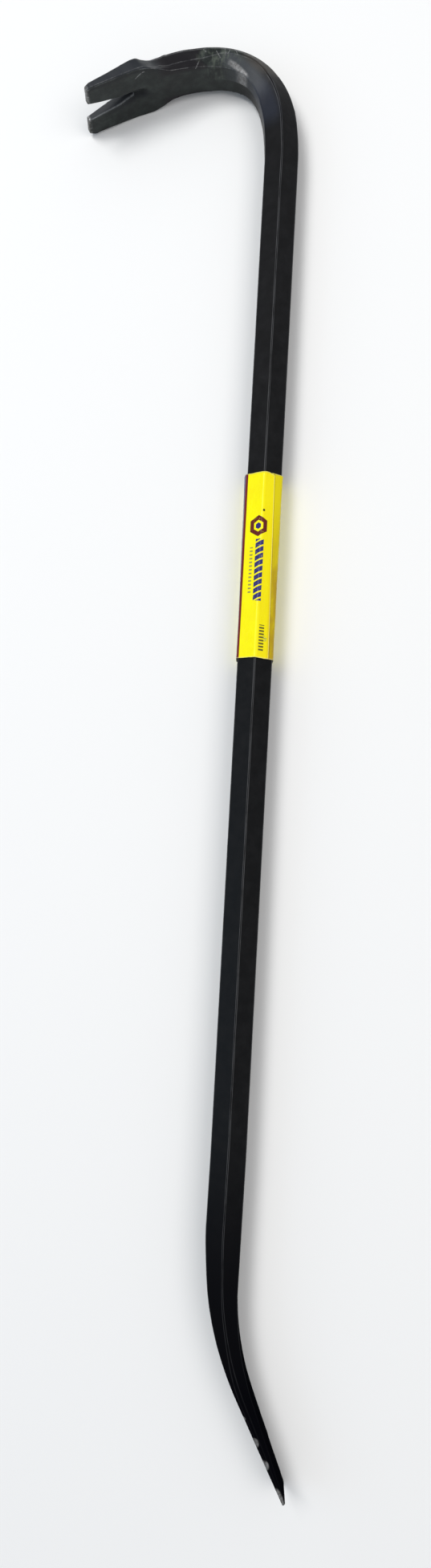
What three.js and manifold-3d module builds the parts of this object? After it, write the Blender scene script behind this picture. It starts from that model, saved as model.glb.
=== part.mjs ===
// Gooseneck pry bar, lying on its side as it rests on a floor. Millimetres, +Z up.
// Two pieces: one forging drawn from hexagonal bar, and the printed film wrapped loosely round its shank.
import * as THREE from "three";
import { mergeVertices } from "three/addons/utils/BufferGeometryUtils.js";
import Module from "manifold-3d";

const wasm = await Module();
wasm.setup();
const { Manifold, Mesh } = wasm;
const rad = THREE.MathUtils.degToRad;

// ---- driving dimensions -------------------------------------------------------------------------
const ACROSS_FLATS = 22.1; // hexagonal bar stock, 7/8 inch
const ACROSS_CORNERS = (2 * ACROSS_FLATS) / Math.sqrt(3);
const TIP_OFFSET = 44.9; // chisel edge to shank axis, sideways
const CHISEL_HEADING = 21.9; // degrees between the chisel's front face and the shank
const CHISEL_RUN = 60; // straight wedge
const CHISEL_BEND_R = 170;
const OVERBEND = 0.6; // degrees the heel of the chisel is bent past straight
const OVERBEND_RUN = 70;
const SHANK_RUN = 631.4; // straight shank up to the gooseneck
// gooseneck, measured on its outer face: radius and turn of each arc
const GOOSE_ARCS = [
  { r: 170, turn: 10 },
  { r: 65, turn: 20 },
  { r: 50, turn: 62 },
  { r: 95, turn: 23 },
  { r: 120, turn: 6 },
];
const CLAW_RUN = 46.6; // straight claw, shoulder to tine tips
const CLAW_HALF = 22.3; // half width over the shoulders
const EDGE_BLUNT = 0.7; // worn corner of the stock
const RIDGE_LAND = 0.9; // worn flat on each of the two ridges

const NECK_SET = 1.4; // the neck stands this much to one side of the bar's plane,
const TIP_SET = 0.4; // and the tine tips this much to the other
const TIP_SKEW = 1.9; // one tine is this much longer than the middle, and the other as much shorter

const SLOT_LENGTH = 33.1; // throat to tine tips
const SLOT_MOUTH = 15.6; // between the tine tips, at mid thickness
const SLOT_THROAT = 2.6;
const SLOT_BEVEL = 1.1; // each wall, wider on the inner face
const SINK_LENGTH = 11; // scoop for a nail's head behind the throat
const SINK_HALF = 5.6;
const SINK_DEPTH = 2.4;

const LABEL_START = 508; // from the chisel's edge
const LABEL_LENGTH = 119.5;
const LABEL_FILM = 0.3;
const LABEL_GAP = 0.3; // film to steel
const LABEL_LIFT = 1.3; // how far the film bags off the inner flat at its upper end
const LABEL_LIFT_LOW = 0.2;

const LIE_ROLL = 5.32; // the bar lies on its claw, its ridge by the gooseneck and its chisel
const LIE_PITCH = -0.31;

// ---- the spine: runs along the bar's outer face --------------------------------------------------
// A turn is positive towards the gooseneck's hollow side. Headings count from +Y towards -X.
function spine(parts, x, y, heading) {
  const runs = [];
  let s = 0;
  for (const { length, r, turn = 0 } of parts) {
    const a = rad(turn),
      run = length ?? Math.abs(a) * r;
    runs.push({ s, run, x, y, heading, bend: a / run });
    const next = pointOn(runs.at(-1), s + run);
    ({ x, y, heading } = next);
    s += run;
  }
  const at = (q) => pointOn(runs.findLast((k) => k.s <= q + 1e-9) ?? runs[0], q);
  return { at, runs, length: s };
}
function pointOn({ s, x, y, heading, bend }, q) {
  const d = q - s,
    h = heading + bend * d;
  if (Math.abs(bend) < 1e-12)
    return { x: x - Math.sin(heading) * d, y: y + Math.cos(heading) * d, heading };
  return {
    x: x - (Math.cos(heading) - Math.cos(h)) / bend,
    y: y + (Math.sin(h) - Math.sin(heading)) / bend,
    heading: h,
  };
}
const BACK = spine(
  [
    { length: CHISEL_RUN },
    { r: CHISEL_BEND_R, turn: -CHISEL_HEADING - OVERBEND },
    { length: OVERBEND_RUN },
    { r: 1500, turn: OVERBEND },
    { length: SHANK_RUN },
    ...GOOSE_ARCS,
    { length: CLAW_RUN },
  ],
  TIP_OFFSET,
  0,
  rad(CHISEL_HEADING),
);
const GOOSE = BACK.runs[5].s; // where the gooseneck starts
const CLAW = BACK.runs.at(-1).s; // where the straight claw starts
const END = BACK.length;
const SET_START = GOOSE + 100;
const SET_PEAK = GOOSE + 148;

// ---- cross-sections ------------------------------------------------------------------------------
// t: thickness. outer, inner: half widths of the two flats. ridge: half width at two levels, given as
// fractions of the thickness from the outer face. straight: the taper up to the next section is linear.
const RIDGE = ACROSS_CORNERS / 2 - RIDGE_LAND / Math.sqrt(12);
const LAND = RIDGE_LAND / 2 / ACROSS_FLATS;
const HEX = {
  t: ACROSS_FLATS,
  outer: ACROSS_CORNERS / 4,
  inner: ACROSS_CORNERS / 4,
  f1: 0.5 - LAND,
  w1: RIDGE,
  f2: 0.5 + LAND,
  w2: RIDGE,
};
const SECTIONS = [
  { s: 0, t: 1.8, outer: 12.2, inner: 12.9, f1: 0.45, w1: 12.9, f2: 0.8, w2: 13.1, straight: true },
  { s: CHISEL_RUN, t: 8.4, outer: 10.2, inner: 12.0, f1: 0.52, w1: 12.8, f2: 0.8, w2: 12.9 },
  { s: 100, t: 14.8, outer: 8.4, inner: 8.7, f1: 0.47, w1: 12.7, f2: 0.56, w2: 12.7 },
  { s: 136, t: 20.2, outer: 6.9, inner: 7.0, f1: 0.48, w1: 12.6, f2: 0.52, w2: 12.6 },
  { s: 162, ...HEX, straight: true },
  { s: GOOSE + 12, ...HEX },
  { s: GOOSE + 40, t: 21.2, outer: 6.6, inner: 6.9, f1: 0.43, w1: 12.6, f2: 0.48, w2: 12.6 },
  { s: GOOSE + 63, t: 18.5, outer: 7.4, inner: 8.3, f1: 0.35, w1: 12.5, f2: 0.43, w2: 12.6 },
  { s: GOOSE + 81, t: 15.9, outer: 8.4, inner: 9.9, f1: 0.26, w1: 12.2, f2: 0.36, w2: 12.5 },
  { s: GOOSE + 104, t: 15.4, outer: 9.5, inner: 11.5, f1: 0.18, w1: 12.1, f2: 0.4, w2: 12.6 },
  { s: GOOSE + 114, t: 15.3, outer: 9.9, inner: 12.0, f1: 0.15, w1: 12.0, f2: 0.55, w2: 12.5 },
  { s: GOOSE + 121, t: 15.2, outer: 10.0, inner: 12.3, f1: 0.14, w1: 11.2, f2: 0.6, w2: 11.7 },
  { s: GOOSE + 143, t: 14.3, outer: 10.7, inner: 13.8, f1: 0.12, w1: 11.8, f2: 0.7, w2: 12.8 },
  { s: GOOSE + 154, t: 12.6, outer: 12.2, inner: 18.6, f1: 0.14, w1: 13.5, f2: 0.74, w2: 16.6 },
  { s: GOOSE + 160.5, t: 10.9, outer: 16.4, inner: 21.2, f1: 0.14, w1: 17.6, f2: 0.76, w2: 20.2 },
  { s: GOOSE + 165.5, t: 9.4, outer: 20.8, inner: 21.6, f1: 0.12, w1: 21.5, f2: 0.84, w2: 22 },
  { s: GOOSE + 170.5, t: 8.2, outer: 21.6, inner: 21.7, f1: 0.1, w1: CLAW_HALF, f2: 0.88, w2: CLAW_HALF, straight: true },
  { s: END - 3.2, t: 4.1, outer: 21.3, inner: 21.4, f1: 0.12, w1: 21.9, f2: 0.85, w2: 21.9, straight: true },
  { s: END, t: 3.5, outer: 19.6, inner: 19.7, f1: 0.15, w1: 20.2, f2: 0.85, w2: 20.2 },
];
// Cubic between sections, with the slope of a straight taper carried into its neighbours.
function section(s) {
  const n = SECTIONS.length;
  let i = SECTIONS.findLastIndex((k) => k.s <= s + 1e-9);
  i = Math.min(Math.max(i, 0), n - 2);
  const a = SECTIONS[i],
    b = SECTIONS[i + 1],
    h = b.s - a.s,
    q = Math.min(Math.max((s - a.s) / h, 0), 1);
  const out = {};
  for (const key of ["t", "outer", "inner", "f1", "w1", "f2", "w2"]) {
    const step = (j) => (SECTIONS[j + 1][key] - SECTIONS[j][key]) / (SECTIONS[j + 1].s - SECTIONS[j].s);
    const slope = (j) => {
      if (j > 0 && SECTIONS[j - 1].straight) return step(j - 1);
      if (SECTIONS[j].straight || j === 0) return step(j);
      if (j === n - 1) return step(j - 1);
      const p = step(j - 1),
        r = step(j);
      return p * r <= 0 ? 0 : (2 * p * r) / (p + r); // never overshoots
    };
    const m0 = a.straight ? step(i) : slope(i),
      m1 = a.straight ? step(i) : slope(i + 1);
    const q2 = q * q,
      q3 = q2 * q;
    out[key] =
      (2 * q3 - 3 * q2 + 1) * a[key] +
      (q3 - 2 * q2 + q) * h * m0 +
      (3 * q2 - 2 * q3) * b[key] +
      (q3 - q2) * h * m1;
  }
  return out;
}
// One half of the outline, outer flat to inner flat, as [depth from the outer face, half width].
function halfOutline(s) {
  const k = section(s);
  const p = [
    [0, 0],
    [0, k.outer],
    [k.f1 * k.t, k.w1],
    [k.f2 * k.t, k.w2],
    [k.t, k.inner],
    [k.t, 0],
  ];
  const half = [];
  for (let i = 1; i < 5; i++) {
    if (i === 2 || i === 3) {
      half.push(p[i]);
      continue;
    }
    for (const to of [p[i - 1], p[i + 1]]) {
      const d = Math.hypot(to[0] - p[i][0], to[1] - p[i][1]),
        c = Math.min(EDGE_BLUNT, 0.3 * d) / d;
      half.push([p[i][0] + (to[0] - p[i][0]) * c, p[i][1] + (to[1] - p[i][1]) * c]);
    }
  }
  return half;
}

// ---- solids --------------------------------------------------------------------------------------
// A closed solid through rings of equally many points, each end closed by a fan.
function loft(rings) {
  const n = rings[0].length,
    verts = rings.flat(2),
    tris = [];
  for (let i = 0; i + 1 < rings.length; i++)
    for (let j = 0; j < n; j++) {
      const a = i * n + j,
        b = i * n + ((j + 1) % n);
      tris.push(a, b, a + n, b, b + n, a + n);
    }
  for (const [ring, base, flip] of [
    [rings[0], 0, true],
    [rings.at(-1), (rings.length - 1) * n, false],
  ]) {
    const faces = capFaces(ring);
    for (const [a, b, c] of faces) flip ? tris.push(base + a, base + c, base + b) : tris.push(base + a, base + b, base + c);
  }
  return solid(verts, tris);
}
// Triangulates an end ring in its own plane, keeping the ring's direction.
function capFaces(ring) {
  const p = ring.map((q) => new THREE.Vector3(...q));
  const normal = new THREE.Vector3();
  p.forEach((a, i) => normal.add(a.clone().cross(p[(i + 1) % p.length])));
  const u = p[1].clone().sub(p[0]).normalize();
  const v = normal.clone().normalize().cross(u);
  const flat = p.map((a) => new THREE.Vector2(a.clone().sub(p[0]).dot(u), a.clone().sub(p[0]).dot(v)));
  return THREE.ShapeUtils.triangulateShape(flat, []);
}
function solid(verts, tris) {
  const g = new THREE.BufferGeometry();
  g.setAttribute("position", new THREE.BufferAttribute(new Float32Array(verts), 3));
  g.setIndex(tris);
  const m = mergeVertices(g, 1e-4);
  let made = new Manifold(
    new Mesh({
      numProp: 3,
      vertProperties: m.attributes.position.array,
      triVerts: new Uint32Array(m.index.array),
    }),
  );
  return made;
}
// A point given by its distance along the bar, its depth below the outer face and its width.
function place(s, depth, w) {
  const { x, y, heading } = BACK.at(s),
    more = skew(s, w);
  return [
    x - Math.cos(heading) * depth - Math.sin(heading) * more,
    y - Math.sin(heading) * depth + Math.cos(heading) * more,
    w - sideways(s),
  ];
}
// How far a point of the claw is moved along it, so that the tine tips end on a slant.
function skew(s, w) {
  return (-TIP_SKEW * Math.max(s - CLAW, 0) * w) / CLAW_RUN / CLAW_HALF;
}
// The claw isn't quite in the bar's plane: its neck is to one side and its tine tips to the other.
function sideways(s) {
  const up = THREE.MathUtils.smoothstep(s, SET_START, SET_PEAK),
    back = THREE.MathUtils.clamp((s - SET_PEAK) / (END - SET_PEAK), 0, 1);
  return -NECK_SET * up + (NECK_SET + TIP_SET) * back;
}

function forgedBar() {
  const at = [];
  const put = (from, to, most) => {
    const n = Math.max(1, Math.ceil((to - from) / most));
    for (let i = 0; i < n; i++) at.push(from + ((to - from) * i) / n);
  };
  const marks = [0, CHISEL_RUN, 162, GOOSE, GOOSE + 114, GOOSE + 121, GOOSE + 143, CLAW, GOOSE + 170.5, END - 3.2, END];
  const pitch = [12, 3, 90, 3, 2.4, 3, 3, 2.5, 8, 1, 1];
  marks.slice(0, -1).forEach((m, i) => put(m, marks[i + 1], pitch[i]));
  at.push(END);
  const rings = at.map((s) => {
    const half = halfOutline(s);
    const ring = [...half, ...half.map(([d, w]) => [d, -w]).reverse()];
    return ring.map(([d, w]) => place(s, d, w)).reverse();
  });
  return loft(rings);
}

// The nail slot: a V that widens towards the inner face, with a rounded throat.
function nailSlot() {
  const throat = END - SLOT_LENGTH,
    over = 12,
    r = SLOT_THROAT / 2,
    grow = (SLOT_MOUTH / 2 - r) / SLOT_LENGTH;
  const outline = (extra) => {
    const pts = [];
    for (let i = 0; i <= 6; i++) {
      const a = -Math.PI / 2 + (Math.PI * i) / 6;
      pts.push([throat + (r + extra) * (1 - Math.cos(a)), (r + extra) * Math.sin(a)]);
    }
    const wide = r + extra + grow * (SLOT_LENGTH + over);
    return [...pts, [END + over, wide], [END + over, -wide]];
  };
  const points = [];
  const claw = BACK.runs.at(-1);
  const onClaw = (s, depth, w) => {
    const { x, y, heading } = pointOn(claw, s);
    return [x - Math.cos(heading) * depth, y - Math.sin(heading) * depth, w - sideways(s)];
  };
  for (const [s, w] of outline(-SLOT_BEVEL / 2)) points.push(onClaw(s, -6, w));
  for (const [s, w] of outline(SLOT_BEVEL / 2)) points.push(onClaw(s, 16, w));
  return Manifold.hull(points);
}
// The scoop behind the throat, cut into the inner face.
function nailSink() {
  const throat = END - SLOT_LENGTH,
    start = throat - SINK_LENGTH,
    finish = throat + 9;
  const depthAt = (s) => section(s).t;
  const points = [
    ...[-1, 1].flatMap((k) => [
      place(start, depthAt(start) + 3, k * (SINK_HALF + 3)),
      place(finish, depthAt(finish) + 3, k * (SINK_HALF + 1)),
    ]),
    place(start + 4, depthAt(start + 4) - SINK_DEPTH, 0),
    place(finish, depthAt(finish) - SINK_DEPTH * 0.9, 0),
  ];
  return Manifold.hull(points);
}

// ---- the printed film ----------------------------------------------------------------------------
// The film starts on the near outer facet, runs once round the hexagon and ends over its own start.
function labelSleeve() {
  const R = ACROSS_CORNERS / 2,
    stations = 13;
  const corner = (k, out) => {
    const a = rad(60 * k + 90);
    return [Math.cos(a) * (R + out * (2 / Math.sqrt(3))), Math.sin(a) * (R + out * (2 / Math.sqrt(3)))];
  };
  const mix = (a, b, q) => [a[0] + (b[0] - a[0]) * q, a[1] + (b[1] - a[1]) * q];
  const rings = [];
  for (let i = 0; i < stations; i++) {
    const q = i / (stations - 1),
      y = LABEL_START + LABEL_LENGTH * q;
    const lift = LABEL_LIFT_LOW + (LABEL_LIFT - LABEL_LIFT_LOW) * q ** 1.5;
    const inner = LABEL_GAP + LABEL_FILM / 2,
      outer = inner + LABEL_FILM + 0.3;
    // corners run anticlockwise seen from the claw end: 0 is the near ridge, 1 and 2 bound the inner flat
    const under = mix(corner(-1, inner), corner(0, inner), 0.45);
    const line = [
      under,
      corner(-1, inner),
      corner(-2, inner),
      corner(-3, inner),
      corner(-4, inner),
    ];
    const low = corner(-4, inner),
      high = corner(-5, inner);
    for (let k = 1; k < 6; k++) {
      const p = mix(low, high, k / 6);
      line.push([p[0] - lift * Math.sin((Math.PI * k) / 6) ** 0.8, p[1]]);
    }
    line.push(high);
    line.push(mix(high, corner(-6, inner), 0.55));
    line.push(corner(-6, outer));
    line.push(mix(corner(-6, outer), corner(-7, outer), 0.68 + 0.05 * (1 - q)));
    rings.push(thicken(line, LABEL_FILM).map(([x, z]) => [x, y, z]));
  }
  return loft(rings);
}
// Offsets an open polyline to both sides by half a thickness and closes it into a ring.
function thicken(line, t) {
  const left = [],
    right = [];
  line.forEach((p, i) => {
    const a = line[Math.max(i - 1, 0)],
      b = line[Math.min(i + 1, line.length - 1)];
    const d1 = i > 0 ? norm(a, p) : norm(p, b),
      d2 = i < line.length - 1 ? norm(p, b) : d1;
    const n = [-(d1[1] + d2[1]), d1[0] + d2[0]],
      l = Math.hypot(...n),
      cosHalf = (n[0] * -d1[1] + n[1] * d1[0]) / l;
    const k = t / 2 / l / cosHalf;
    left.push([p[0] + n[0] * k, p[1] + n[1] * k]);
    right.push([p[0] - n[0] * k, p[1] - n[1] * k]);
  });
  return [...left, ...right.reverse()];
}
function norm(a, b) {
  const l = Math.hypot(b[0] - a[0], b[1] - a[1]);
  return [(b[0] - a[0]) / l, (b[1] - a[1]) / l];
}

// ---- assembly ------------------------------------------------------------------------------------
const outward = (m) => {
  const mesh = m.getMesh(),
    g = new THREE.BufferGeometry();
  g.setAttribute("position", new THREE.BufferAttribute(new Float32Array(mesh.vertProperties), 3));
  g.setIndex(new THREE.BufferAttribute(new Uint32Array(mesh.triVerts), 1));
  return g;
};
const bar = forgedBar().subtract(nailSlot()).subtract(nailSink());
const label = labelSleeve();

const lie = new THREE.Matrix4()
  .makeRotationX(rad(LIE_PITCH))
  .multiply(new THREE.Matrix4().makeRotationY(rad(LIE_ROLL)));
const pieces = [
  ["forged_bar", bar, { color: 0x14161a, metalness: 0.35, roughness: 0.42 }],
  ["label_sleeve", label, { color: 0xf2d80c, metalness: 0, roughness: 0.3 }],
].map(([name, m, look]) => {
  const mesh = new THREE.Mesh(outward(m).applyMatrix4(lie), new THREE.MeshStandardMaterial(look));
  mesh.name = name;
  return mesh;
});

// The origin is under the middle of the bar's box, on the floor.
const box = new THREE.Box3();
for (const p of pieces) box.union(new THREE.Box3().setFromBufferAttribute(p.geometry.attributes.position));
const mid = box.getCenter(new THREE.Vector3());
const group = new THREE.Group();
group.name = "pry_bar";
for (const p of pieces) {
  p.geometry.translate(-mid.x, -mid.y, -box.min.z);
  p.geometry.computeVertexNormals();
  group.add(p);
}
export default group;
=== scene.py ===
"""A gooseneck pry bar of hexagonal steel, lying on a pale studio floor.

Both pieces repeat the CAD's outlines at a finer pitch, with rounded corners, forging marks, nicks
and wrinkles. Lengths are millimetres until a mesh is made; the scene itself is in metres.
"""
import math

import bpy
import numpy as np
from mathutils import Matrix, Vector, noise


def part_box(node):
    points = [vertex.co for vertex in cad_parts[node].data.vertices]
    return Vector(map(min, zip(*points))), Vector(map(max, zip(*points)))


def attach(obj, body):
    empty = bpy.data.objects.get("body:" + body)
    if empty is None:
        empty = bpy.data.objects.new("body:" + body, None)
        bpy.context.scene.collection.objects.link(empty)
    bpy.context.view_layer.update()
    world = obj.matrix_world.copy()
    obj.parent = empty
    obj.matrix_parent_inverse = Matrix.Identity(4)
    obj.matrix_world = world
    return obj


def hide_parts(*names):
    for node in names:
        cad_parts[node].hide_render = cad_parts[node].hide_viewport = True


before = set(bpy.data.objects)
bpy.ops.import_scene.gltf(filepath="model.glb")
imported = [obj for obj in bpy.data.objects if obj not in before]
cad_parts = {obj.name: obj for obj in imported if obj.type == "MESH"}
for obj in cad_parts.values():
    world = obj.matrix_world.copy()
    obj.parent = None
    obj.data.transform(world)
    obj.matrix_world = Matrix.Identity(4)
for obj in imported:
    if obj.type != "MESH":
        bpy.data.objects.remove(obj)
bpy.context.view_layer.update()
MM = 0.001
rad = math.radians

# ---- the bar, as the CAD has it ------------------------------------------------------------------
FLATS = 22.1
CORNERS = 2 * FLATS / math.sqrt(3)
TIP_OFFSET = 44.9
CHISEL_HEADING = 21.9
CHISEL_RUN = 60.0
OVERBEND = 0.6
CLAW_RUN = 46.6
SPINE = [  # length, turn in degrees
    (CHISEL_RUN, 0),
    (170 * rad(CHISEL_HEADING + OVERBEND), -CHISEL_HEADING - OVERBEND),
    (70, 0),
    (1500 * rad(OVERBEND), OVERBEND),
    (631.4, 0),
    (170 * rad(10), 10),
    (65 * rad(20), 20),
    (50 * rad(62), 62),
    (95 * rad(23), 23),
    (120 * rad(6), 6),
    (CLAW_RUN, 0),
]
END = sum(length for length, _ in SPINE)
GOOSE = sum(length for length, _ in SPINE[:5])
CLAW_HALF = 22.3
NECK_SET = 1.4
TIP_SET = 0.4
TIP_SKEW = 1.9
SET_START = GOOSE + 100
SET_PEAK = GOOSE + 148
SLOT_LENGTH = 33.1
SLOT_MOUTH = 15.6
SLOT_THROAT = 2.6
SLOT_BEVEL = 1.1
SLOT_OVER = 12.0
SLOT_ABOVE = 6  # the cut starts this far above the outer face
SLOT_DEEP = 22
THROAT = END - SLOT_LENGTH
SINK_LENGTH = 11.0
SINK_DEPTH = 2.4
SINK_HALF = 4.2
LABEL_START = 508.0
LABEL_LENGTH = 119.5
LABEL_GAP = 0.3
LABEL_LIFT = 1.3
LABEL_LIFT_LOW = 0.2
LIE = Matrix.Rotation(rad(-0.31), 3, "X") @ Matrix.Rotation(rad(5.32), 3, "Y")

# sections: station, thickness, half widths of the outer and inner flats, then the half width at two
# levels given as fractions of the thickness. The taper after a straight section is linear.
RIDGE = CORNERS / 2 - 0.26
HEX = (FLATS, CORNERS / 4, CORNERS / 4, 0.48, RIDGE, 0.52, RIDGE)
SECTIONS = [
    (0, (1.8, 12.2, 12.9, 0.45, 12.9, 0.8, 13.1), True),
    (60, (8.4, 10.2, 12.0, 0.52, 12.8, 0.8, 12.9), False),
    (100, (14.8, 8.4, 8.7, 0.47, 12.7, 0.56, 12.7), False),
    (136, (20.2, 6.9, 7.0, 0.48, 12.6, 0.52, 12.6), False),
    (162, HEX, True),
    (GOOSE + 12, HEX, False),
    (GOOSE + 40, (21.2, 6.6, 6.9, 0.43, 12.6, 0.48, 12.6), False),
    (GOOSE + 63, (18.5, 7.4, 8.3, 0.35, 12.5, 0.43, 12.6), False),
    (GOOSE + 81, (15.9, 8.4, 9.9, 0.26, 12.2, 0.36, 12.5), False),
    (GOOSE + 104, (15.4, 9.5, 11.5, 0.18, 12.1, 0.4, 12.6), False),
    (GOOSE + 114, (15.3, 9.9, 12.0, 0.15, 12.0, 0.55, 12.5), False),
    (GOOSE + 121, (15.2, 10.0, 12.3, 0.14, 11.2, 0.6, 11.7), False),
    (GOOSE + 143, (14.3, 10.7, 13.8, 0.12, 11.8, 0.7, 12.8), False),
    (GOOSE + 154, (12.6, 12.2, 18.6, 0.14, 13.5, 0.74, 16.6), False),
    (GOOSE + 160.5, (10.9, 16.4, 21.2, 0.14, 17.6, 0.76, 20.2), False),
    (GOOSE + 165.5, (9.4, 20.8, 21.6, 0.12, 21.5, 0.84, 22.0), False),
    (GOOSE + 170.5, (8.2, 21.6, 21.7, 0.1, CLAW_HALF, 0.88, CLAW_HALF), True),
    (END - 3.2, (4.1, 21.3, 21.4, 0.12, 21.9, 0.85, 21.9), True),
    (END, (3.5, 19.6, 19.7, 0.15, 20.2, 0.85, 20.2), False),
]


def smooth(x, low, high):
    t = np.clip((np.asarray(x, float) - low) / (high - low), 0, 1)
    return t * t * (3 - 2 * t)


def walk(run, s):
    """Point and heading at station s of one run of the spine."""
    s0, x, y, h0, bend = run
    d = s - s0
    h = h0 + bend * d
    if abs(bend) < 1e-12:
        return x - math.sin(h0) * d, y + math.cos(h0) * d, h0
    return x - (math.cos(h0) - math.cos(h)) / bend, y + (math.sin(h) - math.sin(h0)) / bend, h


def runs_of(parts):
    runs, s, at = [], 0.0, (TIP_OFFSET, 0.0, rad(CHISEL_HEADING))
    for length, turn in parts:
        runs.append((s, *at, rad(turn) / length))
        s += length
        at = walk(runs[-1], s)
    return runs


RUNS = runs_of(SPINE)


def spine_at(s):
    return walk([r for r in RUNS if r[0] <= s + 1e-9 or r is RUNS[0]][-1], s)


def section(s):
    """The section's seven numbers at station s: cubic, and straight tapers run on into their neighbours."""
    n = len(SECTIONS)
    i = max(k for k in range(n - 1) if SECTIONS[k][0] <= s + 1e-9 or k == 0)
    a, b = SECTIONS[i], SECTIONS[i + 1]
    h = b[0] - a[0]
    q = min(max((s - a[0]) / h, 0), 1)

    def step(j):
        p, r = SECTIONS[j], SECTIONS[j + 1]
        return (np.array(r[1]) - np.array(p[1])) / (r[0] - p[0])

    def slope(j):
        if j > 0 and SECTIONS[j - 1][2]:
            return step(j - 1)
        if SECTIONS[j][2] or j == 0:
            return step(j)
        if j == n - 1:
            return step(j - 1)
        p, r = step(j - 1), step(j)
        return np.where(p * r <= 0, 0, 2 * p * r / np.where(p * r <= 0, 1, p + r))

    m0, m1 = (step(i), step(i)) if a[2] else (slope(i), slope(i + 1))
    q2, q3 = q * q, q * q * q
    return (
        (2 * q3 - 3 * q2 + 1) * np.array(a[1]) + (q3 - 2 * q2 + q) * h * m0
        + (3 * q2 - 2 * q3) * np.array(b[1]) + (q3 - q2) * h * m1
    )


def place(s, depth, w):
    """A point by its station, its depth below the outer face and its width."""
    x, y, h = spine_at(s)
    more = -TIP_SKEW * max(s - (END - CLAW_RUN), 0) * w / CLAW_RUN / CLAW_HALF
    back = min(max((s - SET_PEAK) / (END - SET_PEAK), 0), 1)
    aside = (NECK_SET + TIP_SET) * back - NECK_SET * float(smooth(s, SET_START, SET_PEAK))
    return (
        x - math.cos(h) * depth - math.sin(h) * more,
        y - math.sin(h) * depth + math.cos(h) * more,
        w - aside,
    )


def fractal(points, size, seed, octaves=3):
    """Seeded noise from -1 to 1 at points in millimetres, size being its coarsest grain."""
    shift = Vector((seed * 17.3, seed * -9.1, seed * 4.7))
    out = np.empty(len(points))
    for i, p in enumerate(points):
        v = Vector(p) / size + shift
        out[i] = sum(noise.noise(v * 2**k) / 2**k for k in range(octaves))
    return out


# ---- the forging ---------------------------------------------------------------------------------
SLOT_ROUND = 0.45  # rounding of the nail slot's edges
TIP_ROUND = 0.55
CORNER_CUT = 0.95  # how far a rounded corner reaches along each side
FACE_POINTS = 15
FACET_POINTS = 4
ARC_POINTS = 5
WALL_POINTS = 7
NOT_THERE = -2.0  # stands for a distance at points that have none
SCOOP_RIM = 0.12  # how softly the scoop's sides meet the face


def throat_radius(depth):
    """The slot's throat grows towards the inner face, by its bevel over the depth of the cut."""
    return SLOT_THROAT / 2 + SLOT_BEVEL * ((depth + SLOT_ABOVE) / SLOT_DEEP - 0.5)


def slot_half(s, depth):
    """Half width of the nail slot, wider towards the inner face. 0 behind the throat."""
    r = throat_radius(depth)
    mouth = r + (SLOT_MOUTH - SLOT_THROAT) / 2 / SLOT_LENGTH * (SLOT_LENGTH + SLOT_OVER)
    x = s - THROAT
    if x <= 0:
        return 0.0
    if x < r:
        return math.sqrt(r * r - (r - x) ** 2)
    return r + (mouth - r) * (x - r) / (SLOT_LENGTH + SLOT_OVER - r)


def slot_fillet(s, w, depth):
    """How far the rounded edge of the slot sinks below the face at this point."""
    r = throat_radius(depth)
    x = s - THROAT - r
    away = math.hypot(x, w) - r if x < 0 else w - slot_half(s, depth)
    gap = min(max(away, 0), SLOT_ROUND)
    return SLOT_ROUND - math.sqrt(SLOT_ROUND**2 - (SLOT_ROUND - gap) ** 2)


def sink(s, w):
    """The scoop for a nail's head behind the throat, with soft rims."""
    start = THROAT - SINK_LENGTH
    along = float(smooth(s, start, start + 5))
    half = SINK_HALF * (0.75 + 0.25 * along)
    deep = SINK_DEPTH * along * (1 - abs(w) / half)
    fade = 1 - float(smooth(s, THROAT + 5, THROAT + 12))
    rim = float(smooth(s, start - 1.5, start + 1))
    return 0.5 * (deep + math.sqrt(deep * deep + SCOOP_RIM)) * fade * rim


def arc(a, v, b, n, cut=CORNER_CUT):
    """n points round the corner v of the line a, v, b."""
    da, db = a - v, b - v
    la, lb = np.linalg.norm(da), np.linalg.norm(db)
    c = min(cut, 0.46 * la, 0.46 * lb)
    p, q = v + da / la * c, v + db / lb * c
    t = np.linspace(0, 1, n)[:, None]
    return (1 - t) ** 2 * p + 2 * t * (1 - t) * v + t * t * q


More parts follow.
